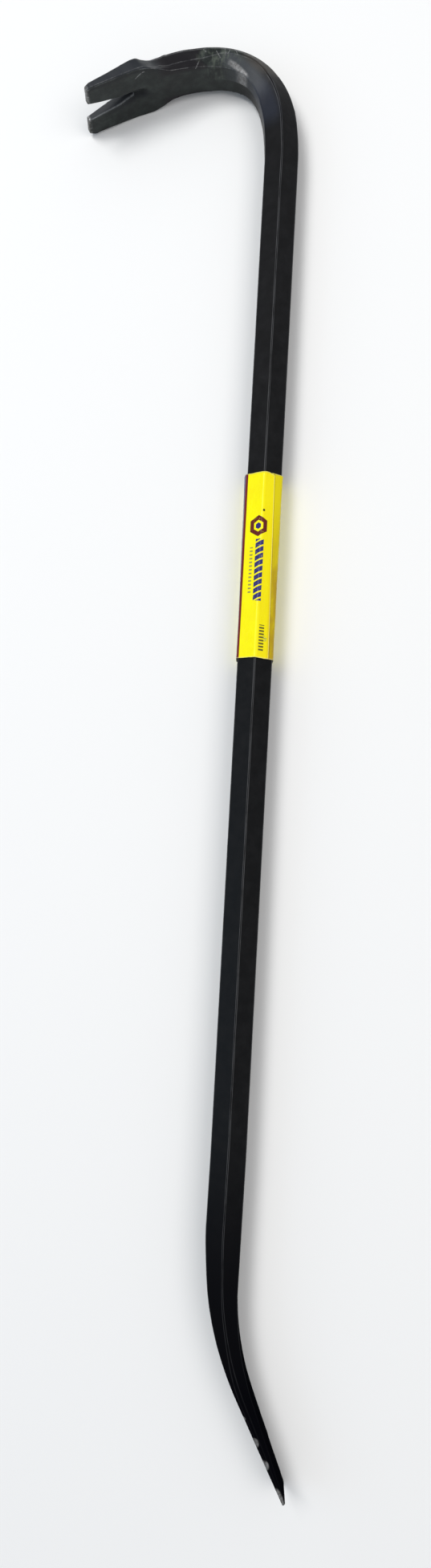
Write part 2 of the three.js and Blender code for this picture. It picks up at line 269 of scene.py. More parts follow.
def half_ring(s, inset=0.0):
    """Half a section from the outer face's middle, or the slot, round to the inner face's.

    Rows of depth, width, girth from the middle of the outer face, corner (1 on a corner's crest), and
    on the inner face the distances from its edge and from the slot, elsewhere NOT_THERE."""
    t, outer, inner, f1, w1, f2, w2 = section(s)
    v = np.array([(0, 0), (0, outer), (f1 * t, w1), (f2 * t, w2), (t, inner), (t, 0)], float)
    v[:, 0] = inset + v[:, 0] * (t - 2 * inset) / t
    v[1:5, 1] -= inset
    arcs = [arc(v[i - 1], v[i], v[i + 1], ARC_POINTS) for i in range(1, 5)]
    crest = np.sin(np.linspace(0, math.pi, ARC_POINTS)) ** 2

    def face(edge, level, inwards):
        low = slot_half(s, level) + (inset if s > THROAT + 1 else 0)
        fine = np.array([0, 0.3, 0.65, 1.0, 1.6]) * SLOT_ROUND
        rest = np.linspace(0, 1, FACE_POINTS - len(fine) + 1)[1:-1] ** 1.15
        rest = np.append(rest, 1 - 0.45 * (1 - rest[-1]))
        w = low + np.concatenate([fine, fine[-1] + rest * (edge - low - fine[-1])])
        way = 1 if inwards else -1
        sunk = [way * slot_fillet(s, x, level) if s > THROAT - 1 else 0.0 for x in w]
        return np.column_stack([level + np.array(sunk), w])

    top = face(arcs[0][0, 1], inset, True)
    low = face(arcs[3][-1, 1], t - inset, False)
    low[:, 0] -= [sink(s, x) for x in low[:, 1]]
    low = low[::-1]

    def between(p, q):
        return p + (q - p) * np.linspace(0, 1, FACET_POINTS + 2)[1:-1, None]

    side = between(arcs[1][-1], arcs[2][0])[: FACET_POINTS // 2 + 1]
    parts = [
        top, arcs[0], between(arcs[0][-1], arcs[1][0]), arcs[1], side,
        arcs[2], between(arcs[2][-1], arcs[3][0]), arcs[3], low,
    ]
    rows = np.vstack(parts)
    corner = np.concatenate([crest if i in (1, 3, 5, 7) else np.zeros(len(p)) for i, p in enumerate(parts)])
    if s > THROAT:
        near = np.array([1, 0.9, 0.6, 0.25])
        corner[:4] = np.maximum(corner[:4], near)
        corner[-4:] = np.maximum(corner[-4:], near[::-1])
    steps = np.linalg.norm(np.diff(rows, axis=0), axis=1)
    girth = np.concatenate([[0], np.cumsum(steps)]) + rows[0, 1]
    edge = np.full(len(rows), NOT_THERE)
    gap = np.full(len(rows), NOT_THERE)
    edge[-len(low) - 1:] = arcs[3][-1, 1] - rows[-len(low) - 1:, 1]
    gap[-len(low):] = low[:, 1] - low[-1, 1]
    return np.column_stack([rows, girth, corner, edge, gap])


def stations():
    """Rows along the bar, closer together where it is forged and round the slot's throat."""
    marks = [(1.2, 60, 1.6), (60, 160, 1.5), (160, GOOSE, 2.4), (GOOSE, GOOSE + 100, 1.2),
             (GOOSE + 100, THROAT - 2, 0.9), (THROAT - 2, THROAT, 0.4), (THROAT + 1.7, END - 1.2, 1.0)]
    rows = []
    for start, stop, pitch in marks:
        n = max(1, math.ceil((stop - start) / pitch))
        rows += [(start + (stop - start) * i / n, 0.0) for i in range(n)]
        if stop == THROAT:
            around = (0, 12, 24, 36, 50, 65, 80, 90)
            rows += [(THROAT + SLOT_THROAT / 2 * (1 - math.cos(rad(a))), 0.0) for a in around]
    turns = [(1 - math.cos(rad(a)), 1 - math.sin(rad(a))) for a in (0, 25, 50, 75)]
    bevel = [(TIP_ROUND * back, TIP_ROUND * inward) for back, inward in turns]
    rows = [(d, i) for d, i in bevel] + rows + [(END - d, i) for d, i in reversed(bevel)]
    return rows


def forging():
    """The bar's vertices as place, girth and crest, and its faces."""
    verts, info, faces = [], [], []
    rings = {1: [], -1: []}
    walls = {1: [], -1: []}
    for s, inset in stations():
        ring = half_ring(s, inset)
        for k in (1, -1):
            rings[k].append(range(len(verts), len(verts) + len(ring)))
            for depth, w, girth, corner, edge, gap in ring:
                verts.append(place(s, depth, k * w))
                info.append((s, k * girth, corner, depth, k * w, edge, gap))
            wall = None
            if s >= THROAT - 1e-9:
                first, last = ring[0], ring[-1]
                wall = [rings[k][-1][-1]]
                for j in range(1, WALL_POINTS + 1):
                    depth = last[0] + (first[0] - last[0]) * j / (WALL_POINTS + 1)
                    w = last[1] + (first[1] - last[1]) * j / (WALL_POINTS + 1)
                    wall.append(len(verts))
                    verts.append(place(s, depth, k * w))
                    info.append((s, k * (first[2] - 1.5), 0.0, depth, k * w, NOT_THERE, NOT_THERE))
                wall.append(rings[k][-1][0])
            walls[k].append(wall)

    def strip(a, b, k):
        for i in range(len(a) - 1):
            quad = [a[i], a[i + 1], b[i + 1], b[i]]
            faces.append(quad if k > 0 else quad[::-1])

    for k in (1, -1):
        for a, b in zip(rings[k], rings[k][1:]):
            strip(a, b, k)
        for a, b in zip(walls[k], walls[k][1:]):
            if a is not None:
                strip(a, b, k)
        for end, flip in ((0, k < 0), (-1, k > 0)):
            ring, wall = list(rings[k][end]), walls[k][end]
            n = len(ring)
            if wall is None:
                caps = [[ring[0], ring[n - 1], ring[n - 2], ring[1]]]
            else:
                caps = [wall[::-1][:-1] + [ring[n - 1], ring[n - 2], ring[1]]]
            caps += [[ring[i], ring[n - 1 - i], ring[n - 2 - i], ring[i + 1]] for i in range(1, n // 2 - 1)]
            if n % 2:
                m = n // 2 - 1
                caps.append([ring[m], ring[n - 1 - m], ring[m + 1]])
            faces.extend(c if flip else c[::-1] for c in caps)
    return np.array(verts), np.array(info), faces


def lie_down(points):
    """Turns points from the bar's own frame to how it rests."""
    return points @ np.array(LIE).T


def mesh_of(name, verts, faces, values):
    """A mesh in metres with one value per vertex for each name in values."""
    mesh = bpy.data.meshes.new(name)
    mesh.from_pydata([tuple(v) for v in verts * MM], [], faces)
    for key, data in values.items():
        kind = "FLOAT_VECTOR" if np.ndim(data) == 2 else "FLOAT"
        layer = mesh.attributes.new(key, kind, "POINT")
        field = "vector" if kind == "FLOAT_VECTOR" else "value"
        layer.data.foreach_set(field, np.asarray(data, np.float32).ravel())
    mesh.polygons.foreach_set("use_smooth", [True] * len(mesh.polygons))
    mesh.update()
    piece = bpy.data.objects.new(name, mesh)
    bpy.context.scene.collection.objects.link(piece)
    return piece


def merged(verts, info, faces):
    """Joins vertices that share a place, and drops the faces that this closes up."""
    _, first, where = np.unique(np.round(verts, 4), axis=0, return_index=True, return_inverse=True)
    where = where.ravel()
    kept = []
    for f in faces:
        g = [where[i] for i in f]
        g = [v for i, v in enumerate(g) if v != g[i - 1]]
        if len(set(g)) == len(g) > 2:
            kept.append([int(v) for v in g])
    return verts[first], info[first], kept


def normals_of(verts, faces):
    mesh = bpy.data.meshes.new("normals")
    mesh.from_pydata([tuple(v) for v in verts], [], faces)
    out = np.empty(len(verts) * 3)
    mesh.vertex_normals.foreach_get("vector", out)
    bpy.data.meshes.remove(mesh)
    return out.reshape(-1, 3)


verts, info, faces = merged(*forging())
along, girth, crest, depth, width, edge_gap, slot_gap = info.T
normal = normals_of(verts, faces)
forged = np.maximum(smooth(along, GOOSE - 10, GOOSE + 70), 0.75 * (1 - smooth(along, 60, 170)))
neck = smooth(along, GOOSE + 60, GOOSE + 110)
# painted light: the claw's side faces, picked by the way they point, are painted lighter and bluer
lit_flank = smooth(np.abs(normal[:, 2]), 0.45, 0.85) * smooth(along, GOOSE + 140, GOOSE + 160)
inner_face, upper_side, lower_side = edge_gap > NOT_THERE / 2, width > 0, width < 0
# painted shade: a dark line along the inner face's upper edge, and next to and behind the slot on the lower
# tine
painted_shade = np.exp(-(((edge_gap - 1.2) / 1.0) ** 2)) * inner_face * upper_side
painted_shade *= smooth(along, GOOSE + 116, GOOSE + 126) * (1 - smooth(along, END - 4, END - 1))
shade_by_slot = np.exp(-(((slot_gap - 2.4) / 2.2) ** 2)) * (slot_gap > NOT_THERE / 2) * lower_side
shade_by_slot *= smooth(along, THROAT - 13, THROAT - 8) * (1 - smooth(along, END - 18, END - 6))
painted_shade = np.maximum(painted_shade, shade_by_slot)
lit_edge = (slot_gap > NOT_THERE / 2) * (1 - smooth(slot_gap, 0.3, 0.8)) * (along > THROAT) * lower_side
rough = fractal(verts, 14.0, 1)
grain = fractal(verts, 4.0, 2)
nick = smooth(fractal(verts * np.array([1, 0.6, 1]), 5.0, 3), 0.42, 0.8) * crest
lift = 0.015 * rough + forged * (0.13 * rough + 0.05 * grain) - nick * (0.1 + 0.25 * forged)

# the hammered side of the neck: a shallow bed with a curved end, on both sides
BED_START, BED_STOP = GOOSE + 117, GOOSE + 148
BED_DEPTH, BED_WIDTH = 0.55, 14
side = smooth(np.abs(width), 9.5, 11.6)
bed_end = BED_START + 5 * np.sin(np.clip(depth / BED_WIDTH, 0, 1) * math.pi)
bed = side * smooth(along, bed_end - 2, bed_end + 1) * (1 - smooth(along, BED_STOP, BED_STOP + 8))
lift -= BED_DEPTH * bed * smooth(depth, 1.5, 3.2) * (1 - smooth(depth, BED_WIDTH - 2, BED_WIDTH))
verts = verts + normal * lift[:, None]

flat = lie_down(verts)
low, high = (np.array(c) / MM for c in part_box("forged_bar"))
# its middle goes to the CAD node's middle in x and y, and its lowest point to the CAD node's lowest
SHIFT = (low + high) / 2 - (flat.min(0) + flat.max(0)) / 2
SHIFT[2] = low[2] - flat[:, 2].min()
bar = mesh_of("forged_bar_body", flat + SHIFT, faces, {
    "at": np.column_stack([along, girth, depth]),
    "crest": crest, "forged": forged, "neck": neck, "bed": bed, "lit_flank": lit_flank,
    "painted_shade": painted_shade, "lit_edge": lit_edge,
})
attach(bar, "root")
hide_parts("forged_bar")
even = bar.modifiers.new("even_normals", "WEIGHTED_NORMAL")
even.keep_sharp = True

# ---- the printed film ----------------------------------------------------------------------------
FILM = 0.22  # thickness
FILM_ROWS = 96
FILM_POINTS = 170  # round the shank
FILM_EASE = 0.02  # kept between the film and the CAD's gap
BAG_POINTS = 8  # across the flat that the film bags off
SEAM_TOP, SEAM_LOW = 6.8, 8.97  # the overlap's edge, from the ridge, at the sleeve's two ends
UNDER = 7.9  # where the hidden edge starts, from the corner beyond the overlap


def film_line(q):
    """The film's middle line in the shank's section, at the fraction q of its length."""
    radius = CORNERS / 2
    lift_now = LABEL_LIFT_LOW + (LABEL_LIFT - LABEL_LIFT_LOW) * q**1.5

    def corner(k, out):
        a = rad(60 * k + 90)
        return np.array([math.cos(a), math.sin(a)]) * (radius + out * 2 / math.sqrt(3))

    inner = LABEL_GAP + FILM / 2 + FILM_EASE
    outer = inner + 2 * FILM
    under = corner(-1, inner) + (corner(0, inner) - corner(-1, inner)) * UNDER / radius
    low, high = corner(-4, inner), corner(-5, inner)
    top = corner(-6, outer)
    reach = SEAM_LOW + (SEAM_TOP - SEAM_LOW) * q
    last = top + (corner(-7, outer) - top) * reach / radius
    points = [under, corner(-1, inner), corner(-2, inner), corner(-3, inner), low]
    for k in range(1, BAG_POINTS):
        t = k / BAG_POINTS
        points.append(low + (high - low) * t - np.array([lift_now * math.sin(math.pi * t) ** 0.8, 0]))
    points += [high, high + (corner(-6, inner) - high) * 0.55, top, last]
    rounded = {1, 2, 3, 4, 4 + BAG_POINTS, 6 + BAG_POINTS}
    line = [points[0]]
    for i in range(1, len(points) - 1):
        a, v, b = points[i - 1], points[i], points[i + 1]
        line.extend(arc(a, v, b, 6, 1.5) if i in rounded else [v])
    line = np.array(line + [points[-1]])
    # evenly spaced and close together, so that the rounded corners keep their shape
    dist = np.concatenate([[0], np.cumsum(np.linalg.norm(np.diff(line, axis=0), axis=1))])
    want = np.linspace(0, dist[-1], FILM_POINTS)
    return np.column_stack([np.interp(want, dist, line[:, 0]), np.interp(want, dist, line[:, 1])]), want


def film():
    """The film's vertices, its values for each of them, and its faces."""
    verts, faces, rows = [], [], []
    for i in range(FILM_ROWS + 1):
        q = i / FILM_ROWS
        line, dist = film_line(q)
        tangent = np.gradient(line, axis=0)
        tangent /= np.linalg.norm(tangent, axis=1)[:, None]
        out = np.column_stack([-tangent[:, 1], tangent[:, 0]])
        seam = SEAM_LOW + (SEAM_TOP - SEAM_LOW) * q
        from_ridge = dist[-1] - dist - seam
        past = dist - UNDER + CORNERS / 2 - seam
        dip = 1.5 * math.exp((q - 1) * LABEL_LENGTH / 4) * smooth(-from_ridge, 2.5, SEAM_TOP)
        rows.append((line, out, from_ridge, LABEL_START + LABEL_LENGTH * q - dip, q, past))
    n = len(rows[0][0])
    mid = np.array([(x, y, z) for line, _, _, ys, _, _ in rows for (x, z), y in zip(line, ys)])
    around = np.concatenate([r[2] for r in rows])
    up = np.concatenate([np.full(n, r[4]) for r in rows])
    past = np.concatenate([r[5] for r in rows])
    out = np.array([(x, 0, z) for r in rows for x, z in r[1]])
    # ripples on the layer past the seam, soft dents elsewhere, and a slack edge at both cut ends
    wave = fractal(mid * np.array([1, 0.35, 1]), 7.0, 5)
    ripple = np.clip(fractal(mid * np.array([1, 1.6, 1]), 6.0, 6), 0, 1)
    loose = smooth(past, 0.4, 1.6) * (1 - smooth(past, 8.0, 14.0))
    swell = 0.10 * (wave + 0.6) + 0.22 * loose * ripple
    swell += 0.35 * np.exp(-((1 - up) * LABEL_LENGTH / 2.2)) * np.clip(wave + 0.4, 0, 1)
    swell += 0.2 * np.exp(-(up * LABEL_LENGTH / 2.0)) * np.clip(0.4 - wave, 0, 1)
    mid[:, 1] += 0.35 * np.sign(up - 0.5) * (np.abs(up - 0.5) > 0.499) * fractal(mid, 9.0, 7)
    mid += out * np.clip(swell, 0, 1)[:, None]
    for k in (1, -1):
        verts.append(mid + out * (k * FILM / 2))
    size = n * (FILM_ROWS + 1)

    def at(side, i, j):
        return side * size + i * n + j

    for i in range(FILM_ROWS):
        for j in range(n - 1):
            faces.append([at(0, i, j), at(0, i, j + 1), at(0, i + 1, j + 1), at(0, i + 1, j)][::-1])
            faces.append([at(1, i, j), at(1, i, j + 1), at(1, i + 1, j + 1), at(1, i + 1, j)])
        for j, flip in ((0, False), (n - 1, True)):
            q = [at(0, i, j), at(1, i, j), at(1, i + 1, j), at(0, i + 1, j)]
            faces.append(q if flip else q[::-1])
    for j in range(n - 1):
        for i, flip in ((0, True), (FILM_ROWS, False)):
            q = [at(0, i, j), at(1, i, j), at(1, i, j + 1), at(0, i, j + 1)]
            faces.append(q if flip else q[::-1])
    both = np.vstack(verts)
    flat_at = np.column_stack([np.tile(around, 2), np.tile(up * LABEL_LENGTH, 2), np.repeat([1, 0], size)])
    return both, {"film": flat_at, "past": np.tile(past, 2)}, faces


points, film_values, film_faces = film()
label = mesh_of("label_film", lie_down(points) + SHIFT, film_faces, film_values)
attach(label, "root")
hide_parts("label_sleeve")


# ---- materials -----------------------------------------------------------------------------------
class Look:
    """A material's node tree, with short names for the few kinds of node used here."""

    def __init__(self, name):
        self.material = bpy.data.materials.new(name)
        self.material.use_nodes = True
        self.tree = self.material.node_tree
        self.shader = self.tree.nodes["Principled BSDF"]

    def put(self, socket, value):
        if isinstance(value, bpy.types.NodeSocket):
            self.tree.links.new(value, socket)
        elif isinstance(value, tuple) and len(value) == 3 and socket.type == "RGBA":
            socket.default_value = (*value, 1)
        else:
            socket.default_value = value

    def node(self, kind, **inputs):
        """A new node, with the inputs given by name."""
        made = self.tree.nodes.new(kind)
        for key, value in inputs.items():
            self.put(made.inputs[key.replace("_", " ")], value)
        return made

    def attribute(self, name, output="Fac"):
        made = self.tree.nodes.new("ShaderNodeAttribute")
        made.attribute_name = name
        return made.outputs[output]

    def math(self, operation, a, b=0.0, clamp=False):
        made = self.tree.nodes.new("ShaderNodeMath")
        made.operation, made.use_clamp = operation, clamp
        self.put(made.inputs[0], a)
        self.put(made.inputs[1], b)
        return made.outputs[0]

    def step(self, value, low, high, to_low=0.0, to_high=1.0):
        """Smoothly from to_low at low to to_high at high."""
        made = self.tree.nodes.new("ShaderNodeMapRange")
        made.interpolation_type = "SMOOTHSTEP"
        for i, v in enumerate((value, low, high, to_low, to_high)):
            self.put(made.inputs[i], v)
        return made.outputs[0]

    def noise(self, vector, scale, detail=3.0, roughness=0.55):
        made = self.node("ShaderNodeTexNoise", Vector=vector, Scale=scale, Detail=detail,
                         Roughness=roughness)
        return made.outputs["Fac"]

    def all_of(self, *masks):
        """The product of several masks."""
        out = masks[0]
        for mask in masks[1:]:
            out = self.math("MULTIPLY", out, mask)
        return out

    def scaled(self, vector, by):
        made = self.tree.nodes.new("ShaderNodeVectorMath")
        made.operation = "MULTIPLY"
        self.put(made.inputs[0], vector)
        made.inputs[1].default_value = by
        return made.outputs[0]

    def mix(self, factor, a, b):
        made = self.tree.nodes.new("ShaderNodeMix")
        made.data_type = "RGBA"
        self.put(made.inputs["Factor"], factor)
        for name, value in (("A", a), ("B", b)):
            self.put([i for i in made.inputs if i.name == name and i.type == "RGBA"][0], value)
        return [o for o in made.outputs if o.type == "RGBA"][0]

    def bump(self, height, strength, distance, normal=None):
        made = self.node("ShaderNodeBump", Height=height, Strength=strength, Distance=distance)
        if normal is not None:
            self.put(made.inputs["Normal"], normal)
        return made.outputs["Normal"]

    def axes(self, vector):
        return self.node("ShaderNodeSeparateXYZ", Vector=vector).outputs

    def stroke(self, x, y, a, b, half):
        """1 near the line from a to b in the plane of x and y, fading out at half its width."""
        dx, dy = b[0] - a[0], b[1] - a[1]
        length = math.hypot(dx, dy)
        dx, dy = dx / length, dy / length
        px, py = self.math("SUBTRACT", x, a[0]), self.math("SUBTRACT", y, a[1])
        t = self.math("ADD", self.math("MULTIPLY", px, dx), self.math("MULTIPLY", py, dy))
        n = self.math("SUBTRACT", self.math("MULTIPLY", px, dy), self.math("MULTIPLY", py, dx))
        across = self.step(self.math("ABSOLUTE", n), half, half * 0.3)
        ends = self.math("MULTIPLY", self.step(t, -half, half), self.step(t, length + half, length - half))
        return self.math("MULTIPLY", across, ends)

    def spot(self, x, y, centre, size, soft=0.6):
        """1 inside an ellipse, fading out at its edge."""
        ex = self.math("DIVIDE", self.math("SUBTRACT", x, centre[0]), size[0])
        ey = self.math("DIVIDE", self.math("SUBTRACT", y, centre[1]), size[1])
        r = self.math("ADD", self.math("MULTIPLY", ex, ex), self.math("MULTIPLY", ey, ey))
        return self.step(r, 1 + soft, 1 - soft)


def enamel():
    """Black satin enamel over forged steel: worn ridges, scuffs and bare corners, with painted light and
    shade: a painted reflection on the neck, painted highlights on the ridges and arch, painted shade by the
    slot.
    """
    k = Look("black_enamel_on_forged_steel")
    here = k.node("ShaderNodeTexCoord").outputs["Object"]
    s, g, d = k.axes(k.attribute("at", "Vector"))
    crest_now, forged_now = k.attribute("crest"), k.attribute("forged")
    neck_now, bed_now = k.attribute("neck"), k.attribute("bed")
    broad = k.noise(here, 38, 2)
    patchy = k.noise(here, 140, 5, 0.65)
    fine = k.noise(here, 620, 4, 0.6)
    speck = k.noise(here, 1800, 2, 0.5)
    drawn = k.noise(k.scaled(k.attribute("at", "Vector"), (0.02, 1.6, 1.6)), 1.0, 4, 0.6)

    ragged = k.math("ADD", k.math("MULTIPLY", patchy, 0.6), k.math("MULTIPLY", fine, 0.4))

    # paint: cool black on the shank, painted lighter towards the neck and darker towards the chisel as
    # painted light and shade, bluer near the chisel and deepest on it; on the neck a painted reflection
    # makes it greener and greyer
    paint = k.mix(k.step(patchy, 0.3, 0.75), (0.0030, 0.0032, 0.0038), (0.0060, 0.0062, 0.0070))
    upper = k.mix(k.step(patchy, 0.3, 0.75), (0.0062, 0.0062, 0.0068), (0.0098, 0.0098, 0.0108))
    paint = k.mix(k.step(s, 420, GOOSE - 20), paint, upper)
    paint = k.mix(k.step(s, 240, 120), paint, (0.0038, 0.0039, 0.0050))
    paint = k.mix(k.step(s, 100, 55), paint, (0.0023, 0.0024, 0.0036))
    # scale: the neck's greener and greyer colour, a painted reflection of the surroundings
    scale = k.mix(k.step(patchy, 0.35, 0.7), (0.0125, 0.0162, 0.0155), (0.030, 0.0372, 0.0350))
    colour = k.mix(k.math("MULTIPLY", neck_now, k.step(broad, 0.25, 0.6, 0.55, 1.0)), paint, scale)
    # painted light on the claw's side faces
    colour = k.mix(k.math("MULTIPLY", k.attribute("lit_flank"), 0.8), colour, (0.0235, 0.0260, 0.0325))
    # painted shade along the inner face's upper edge and by the slot
    colour = k.mix(k.math("MULTIPLY", k.attribute("painted_shade"), 0.85), colour, (0.0060, 0.0070, 0.0098))
    lit = k.math("MULTIPLY", k.attribute("lit_edge"), k.step(fine, 0.28, 0.5, 0.3, 0.9))
    colour = k.mix(lit, colour, (0.115, 0.125, 0.135))
    cap = k.math("MULTIPLY", k.step(s, END - 0.9, END - 0.5), k.step(ragged, 0.3, 0.6, 0.5, 1.0))
    colour = k.mix(cap, colour, (0.056, 0.054, 0.046))
    colour = k.mix(k.math("MULTIPLY", bed_now, 0.9), colour, (0.0090, 0.0074, 0.0098))

    # worn ridges with a painted highlight: a thin light line, part wear and part painted highlight, that
    # comes and goes
    ridge_wear_and_highlight = k.math("MULTIPLY", k.step(crest_now, 0.45, 0.95),
                    k.step(k.noise(k.scaled(here, (1, 0.25, 1)), 240, 4, 0.6), 0.30, 0.56, 0.25, 1.0))
    ridge_wear_and_highlight = k.math("MULTIPLY", ridge_wear_and_highlight, k.step(s, 40, 230, 0.05, 1.0))
    ridge_wear_and_highlight = k.math("MULTIPLY", ridge_wear_and_highlight, k.step(neck_now, 0, 1, 1.0, 0.5))
    colour = k.mix(k.math("MULTIPLY", ridge_wear_and_highlight, 0.8), colour, (0.105, 0.108, 0.115))

    # bare steel: where the arch rubs, shaped and placed as a painted highlight as well, the tine tips,
    # chips along the chisel and a few scratches
    near = k.step(g, 0, 3)
    # worn bare steel on the arch's near facet, which also stands in for its painted highlight
    arch = k.stroke(s, d, (GOOSE + 98, 11.5), (GOOSE + 79, 16.2), 2.7)
    arch = k.math("MULTIPLY", k.math("MULTIPLY", arch, near), k.step(ragged, 0.20, 0.52, 0.35, 1.0))
    # painted highlight: a broad, bluish halo round the arch's worn patch
    halo = k.math("MULTIPLY", k.stroke(s, d, (GOOSE + 104, 9.0), (GOOSE + 58, 17.5), 8.0), near)
    colour = k.mix(k.math("MULTIPLY", halo, 0.6), colour, (0.066, 0.073, 0.084))
    # painted reflection: a bluish sheen fading down the near facet towards the shank
    below = k.math("MULTIPLY", k.stroke(s, d, (GOOSE + 66, 15.5), (GOOSE + 30, 17.0), 9.0), near)
    colour = k.mix(k.math("MULTIPLY", below, 0.5), colour, (0.028, 0.034, 0.054))
    streaks = k.noise(k.scaled(k.attribute("at", "Vector"), (0.55, 0.12, 0.12)), 1.0, 4, 0.7)
    mottled = k.math("MULTIPLY", k.spot(s, d, (GOOSE + 106, 8.0), (15, 8.0), 0.95), near)
    mottled = k.math("MULTIPLY", mottled, k.step(k.math("MULTIPLY", streaks, patchy), 0.20, 0.36))
    colour = k.mix(k.math("MULTIPLY", mottled, 0.6), colour, (0.105, 0.122, 0.098))
    brown = k.math("MULTIPLY", k.spot(s, d, (GOOSE + 76, 2.5), (13, 6.0), 0.9), near)
    colour = k.mix(k.math("MULTIPLY", brown, 0.6), colour, (0.060, 0.052, 0.045))
    # painted highlight: a bluish-white line along the far inner corner of the arch
    far_rim_highlight = k.all_of(k.step(g, 0, -6), k.stroke(s, d, (GOOSE + 84, 15.5), (GOOSE + 130, 15.2), 2.2),
                        k.step(crest_now, 0.1, 0.7), k.step(fine, 0.3, 0.5))
    colour = k.mix(k.math("MULTIPLY", far_rim_highlight, 0.8), colour, (0.16, 0.19, 0.21))
    marks = [
        ((GOOSE + 122, 21.5), (GOOSE + 125.5, 26.5), 0.5), ((GOOSE + 118, 12.5), (GOOSE + 116, 15.5), 0.5),
        ((GOOSE + 96, 12), (GOOSE + 93, 16), 0.4), ((GOOSE + 99, 13), (GOOSE + 100.5, 17), 0.4),
        ((GOOSE + 103, 12), (GOOSE + 102, 18), 0.45), ((GOOSE + 169.5, 37.5), (GOOSE + 163, 31.5), 0.5),
        ((GOOSE + 109, 15), (GOOSE + 106, 20), 0.4),
    ]
    scratches = None
    for a, b, half in marks:
        one = k.stroke(s, g, a, b, half)
        scratches = one if scratches is None else k.math("MAXIMUM", scratches, one)
    scratches = k.math("MULTIPLY", scratches, k.step(fine, 0.32, 0.55))
    chips = None
    for centre, size in [((39, 17.2), (2.8, 2.2)), ((25, 16.0), (2.8, 2.2)), ((4.5, 14.4), (5.5, 2.0)),
                         ((31, -16.6), (1.6, 1.2)), ((12, -14.8), (2.2, 1.4)), ((54, 18.6), (1.2, 0.9))]:
        one = k.spot(s, g, centre, size, 0.5)
        chips = one if chips is None else k.math("MAXIMUM", chips, one)
    chips = k.math("MULTIPLY", chips, k.step(ragged, 0.34, 0.48))
    tips = k.math("MULTIPLY", k.step(s, END - 2.4, END - 0.5), k.step(ragged, 0.36, 0.6))
    edges = k.math("MULTIPLY", k.step(crest_now, 0.35, 0.9),
                   k.math("MULTIPLY", neck_now, k.step(ragged, 0.42, 0.62)))
    blade = k.math("MULTIPLY", k.step(s, 1.6, 0.3), k.step(ragged, 0.4, 0.6))
    bare = k.math("MAXIMUM", k.math("MULTIPLY", arch, 0.75), k.math("MULTIPLY", scratches, 0.6))
    bare = k.math("MAXIMUM", bare, k.math("MULTIPLY", chips, 0.85))
    bare = k.math("MAXIMUM", bare, k.math("MULTIPLY", tips, 0.8))
    bare = k.math("MAXIMUM", bare, k.math("MULTIPLY", edges, 0.35))
    bare = k.math("MAXIMUM", bare, k.math("MULTIPLY", blade, 0.25))
    steel = k.mix(k.step(fine, 0.3, 0.7), (0.16, 0.155, 0.15), (0.30, 0.305, 0.31))
    colour = k.mix(bare, colour, steel)

    k.put(k.shader.inputs["Base Color"], colour)
    k.put(k.shader.inputs["Metallic"], k.math("MULTIPLY", bare, 0.75))
    gloss = k.step(k.math("ADD", k.math("MULTIPLY", patchy, 0.5), k.math("MULTIPLY", drawn, 0.5)),
                   0.3, 0.7, 0.34, 0.46)
    gloss = k.math("ADD", gloss, k.math("MULTIPLY", neck_now, 0.05))
    gloss = k.math("SUBTRACT", gloss, k.math("MULTIPLY", bare, 0.06))
    k.put(k.shader.inputs["Roughness"], gloss)
    shine = k.step(s, 95, 250, 0.0, 0.13)
    k.put(k.shader.inputs["Specular IOR Level"], k.math("ADD", shine, k.math("MULTIPLY", neck_now, 0.05)))
    pits = k.step(patchy, 0.62, 0.8, 0.0, -1.0)
    relief = k.math("ADD", k.math("MULTIPLY", fine, k.step(forged_now, 0, 1, 0.25, 1.0)), pits)
    normal = k.bump(relief, 0.32, 0.00025)
    normal = k.bump(speck, 0.12, 0.00006, normal)
    normal = k.bump(bare, 0.25, -0.0001, normal)
    k.put(k.shader.inputs["Normal"], normal)
    return k.material


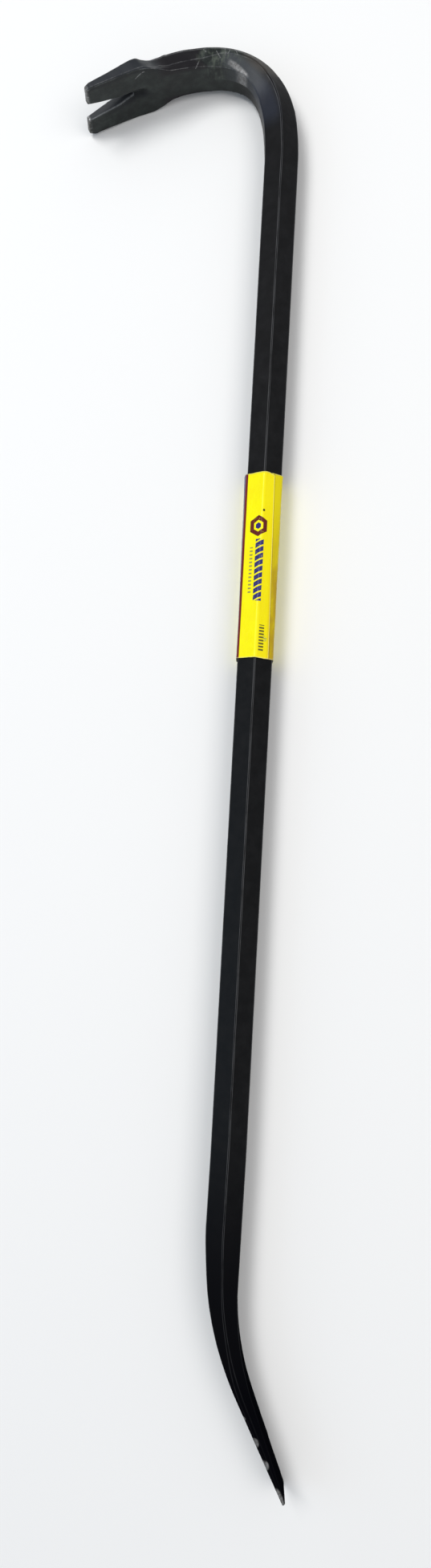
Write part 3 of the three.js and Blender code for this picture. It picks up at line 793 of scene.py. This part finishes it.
def printed_film():
    """Glossy yellow film: a hexagon badge, hatched bars and ticks stand in for its printing."""
    k = Look("glossy_yellow_film")
    here = k.node("ShaderNodeTexCoord").outputs["Object"]
    u, v, outside = k.axes(k.attribute("film", "Vector"))
    cloud = k.noise(here, 90, 3)
    fine = k.noise(here, 700, 3)
    yellow = k.mix(k.step(cloud, 0.3, 0.7), (0.97, 0.91, 0.003), (0.95, 0.84, 0.006))
    # painted shade: from the ridge towards the overlap's edge the film is a deeper yellow, on the facet
    # turned from the light
    yellow = k.mix(k.step(u, 0.6, -0.8, 0.0, 0.6), yellow, (0.97, 0.80, 0.006))
    handled = k.noise(k.scaled(here, (1, 0.3, 1)), 160, 4, 0.65)
    # past the overlap's edge the film below shows, painted deeper and, towards its lower end, ochre in
    # patches: painted shade
    past = k.attribute("past")
    strip = k.math("MULTIPLY", k.step(past, -0.3, 0.0), k.step(past, 14, 8))
    yellow = k.mix(strip, yellow, (0.76, 0.64, 0.005))
    ochre = k.all_of(strip, k.step(v, 105, 45), k.step(handled, 0.32, 0.6, 0.45, 1.0))
    yellow = k.mix(ochre, yellow, (0.47, 0.31, 0.012))
    edge = k.math("ADD", u, k.math("MULTIPLY", v, (SEAM_TOP - SEAM_LOW) / LABEL_LENGTH))
    edge = k.math("ADD", edge, SEAM_LOW)
    warm = k.math("MULTIPLY", k.step(edge, 2.4, 0.5), k.step(v, 110, 30))
    yellow = k.mix(k.math("MULTIPLY", warm, 0.5), yellow, (0.74, 0.50, 0.010))

    def band(value, low, high, soft=0.12):
        return k.all_of(k.step(value, low - soft, low + soft), k.step(value, high + soft, high - soft))

    def box(u0, u1, v0, v1):
        return k.math("MULTIPLY", band(u, u0, u1), band(v, v0, v1))

    # the badge: a hexagon with a hexagonal hole, like the bar's own section
    def hexagon(cu, cv, apothem):
        x, y = k.math("SUBTRACT", u, cu), k.math("SUBTRACT", v, cv)
        reach = None
        for a in (0, 60, 120):
            along_x = k.math("MULTIPLY", x, math.cos(rad(a)))
            p = k.math("ABSOLUTE", k.math("ADD", along_x, k.math("MULTIPLY", y, math.sin(rad(a)))))
            reach = p if reach is None else k.math("MAXIMUM", reach, p)
        return k.step(reach, apothem + 0.12, apothem - 0.12)

    ink_worn = k.step(fine, 0.22, 0.42, 0.5, 1.0)
    badge = k.math("SUBTRACT", hexagon(2.9, 84.5, 6.0), hexagon(2.9, 84.5, 3.3), clamp=True)
    core = hexagon(2.9, 84.5, 1.9)
    # bars along the sleeve: a bold hatched one, a fine row of ticks, and a short dark row of ticks
    slant = k.math("ADD", v, k.math("MULTIPLY", u, 0.45))
    hatch = k.step(k.math("PINGPONG", slant, 2.1), 0.42, 0.62)
    bold = k.math("MULTIPLY", box(-1.3, 4.3, 36, 76), hatch)
    ticks = k.math("MULTIPLY", box(6.2, 8.4, 41, 71), k.step(k.math("PINGPONG", v, 1.2), 0.55, 0.75))
    code = k.math("MULTIPLY", box(-4.8, -1.2, 4, 21), k.step(k.math("PINGPONG", v, 1.0), 0.36, 0.5))
    colour = k.mix(k.math("MULTIPLY", badge, ink_worn), yellow, (0.125, 0.018, 0.016))
    colour = k.mix(k.math("MULTIPLY", k.math("MAXIMUM", bold, core), ink_worn), colour, (0.03, 0.03, 0.17))
    colour = k.mix(k.math("MULTIPLY", ticks, 0.8), colour, (0.20, 0.18, 0.09))
    colour = k.mix(k.math("MULTIPLY", code, 0.85), colour, (0.02, 0.02, 0.025))
    # the panel on the hollow side: a blue field edged with dark red
    red = k.math("MULTIPLY", k.step(u, 12.2, 12.6), k.step(u, 26.2, 25.8))
    blue = k.math("MULTIPLY", k.step(u, 14.4, 14.8), k.step(u, 24.4, 24.0))
    colour = k.mix(red, colour, (0.16, 0.014, 0.018))
    colour = k.mix(blue, colour, (0.045, 0.03, 0.16))
    speck = k.spot(u, v, (-0.4, 94.5), (0.7, 0.8), 0.4)
    mark = k.math("MULTIPLY", k.spot(u, v, (-5.6, 12.5), (1.4, 1.7), 0.5), k.step(fine, 0.4, 0.6))
    colour = k.mix(speck, colour, (0.03, 0.02, 0.01))
    colour = k.mix(mark, colour, (0.24, 0.34, 0.12))
    # light cut edges and the bare inside
    rim = k.math("MAXIMUM", k.step(v, 0.7, 0.2), k.step(v, LABEL_LENGTH - 0.7, LABEL_LENGTH - 0.2))
    rim = k.math("MAXIMUM", rim, k.step(edge, 0.5, 0.2))
    colour = k.mix(k.math("MULTIPLY", rim, 0.35), colour, (0.93, 0.88, 0.45))
    # painted shadow of the overlap's lifted edge, on the film just past it
    seam = k.math("MULTIPLY", k.step(past, -0.2, 0.0), k.step(past, 1.1, 0.3))
    colour = k.mix(k.math("MULTIPLY", seam, k.step(v, 112, 60, 0.5, 0.85)), colour, (0.36, 0.23, 0.02))
    colour = k.mix(outside, (0.62, 0.60, 0.52), colour)
    k.put(k.shader.inputs["Base Color"], colour)
    k.put(k.shader.inputs["Roughness"], k.step(handled, 0.3, 0.7, 0.20, 0.36))
    k.put(k.shader.inputs["Specular IOR Level"], 0.16)
    normal = k.bump(handled, 0.25, 0.0004)
    normal = k.bump(fine, 0.08, 0.0001, normal)
    k.put(k.shader.inputs["Normal"], normal)
    return k.material


def floor_look():
    k = Look("pale_floor")
    here = k.node("ShaderNodeTexCoord").outputs["Object"]
    tone = k.mix(k.noise(here, 3, 2), (0.90, 0.90, 0.90), (0.915, 0.915, 0.91))
    k.put(k.shader.inputs["Base Color"], tone)
    k.put(k.shader.inputs["Roughness"], 0.9)
    k.put(k.shader.inputs["Specular IOR Level"], 0.1)
    return k.material


bar.data.materials.append(enamel())
label.data.materials.append(printed_film())

# ---- floor, lights, camera -----------------------------------------------------------------------
FLOOR_HALF = 8.0
floor_mesh = bpy.data.meshes.new("floor")
corners = [(-FLOOR_HALF, -FLOOR_HALF, 0), (FLOOR_HALF, -FLOOR_HALF, 0),
           (FLOOR_HALF, FLOOR_HALF, 0), (-FLOOR_HALF, FLOOR_HALF, 0)]
floor_mesh.from_pydata(corners, [], [(0, 1, 2, 3)])
floor = bpy.data.objects.new("floor", floor_mesh)
floor.data.materials.append(floor_look())
bpy.context.scene.collection.objects.link(floor)

world = bpy.data.worlds.new("studio")
bpy.context.scene.world = world
world.use_nodes = True
sky = world.node_tree.nodes["Background"]
sky.inputs["Color"].default_value = (0.93, 0.96, 1.0, 1)
sky.inputs["Strength"].default_value = 0.42


LIT_POINT = Vector((0, 0.2, 0.02))


def softbox(name, azimuth, elevation, distance, size, watts, colour):
    """An area light aimed at the lit point. Azimuth 0 is on its -Y side and 90 on +X, in degrees."""
    a, e = rad(azimuth), rad(elevation)
    away = Vector((math.sin(a) * math.cos(e), -math.cos(a) * math.cos(e), math.sin(e)))
    lamp = bpy.data.lights.new(name, "AREA")
    lamp.shape, lamp.size, lamp.size_y = "RECTANGLE", *size
    lamp.energy, lamp.color = watts, colour
    made = bpy.data.objects.new(name, lamp)
    made.location = LIT_POINT + away * distance
    made.rotation_euler = away.to_track_quat("Z", "Y").to_euler()
    bpy.context.scene.collection.objects.link(made)


softbox("key", -130, 66, 2.6, (1.1, 1.1), 36, (1, 1, 0.99))
softbox("cool_side", -75, 32, 2.0, (1.4, 0.9), 3.2, (0.45, 0.72, 1.0))
softbox("right_fill", 80, 58, 2.4, (1.3, 1.3), 15, (1, 0.96, 0.92))

CAMERA_AT = Vector((0.11226, -0.07719, 0.72263))
CAMERA_RIGHT = Vector((0.99122, 0.05462, -0.12040))
CAMERA_BACK = Vector((0.12398, -0.06785, 0.98996))
CAMERA_LENS, CAMERA_SENSOR = 25.766, 36
camera_data = bpy.data.cameras.new("camera")
camera_data.lens, camera_data.sensor_width = CAMERA_LENS, CAMERA_SENSOR
camera_data.clip_start, camera_data.clip_end = 0.01, 100
camera = bpy.data.objects.new("camera", camera_data)
up = CAMERA_BACK.cross(CAMERA_RIGHT).normalized()
right = up.cross(CAMERA_BACK).normalized()
turn = Matrix((right, up, CAMERA_BACK.normalized())).transposed()
camera.matrix_world = Matrix.Translation(CAMERA_AT) @ turn.to_4x4()
bpy.context.scene.collection.objects.link(camera)
bpy.context.scene.camera = camera
bpy.context.scene.view_settings.view_transform = "Standard"
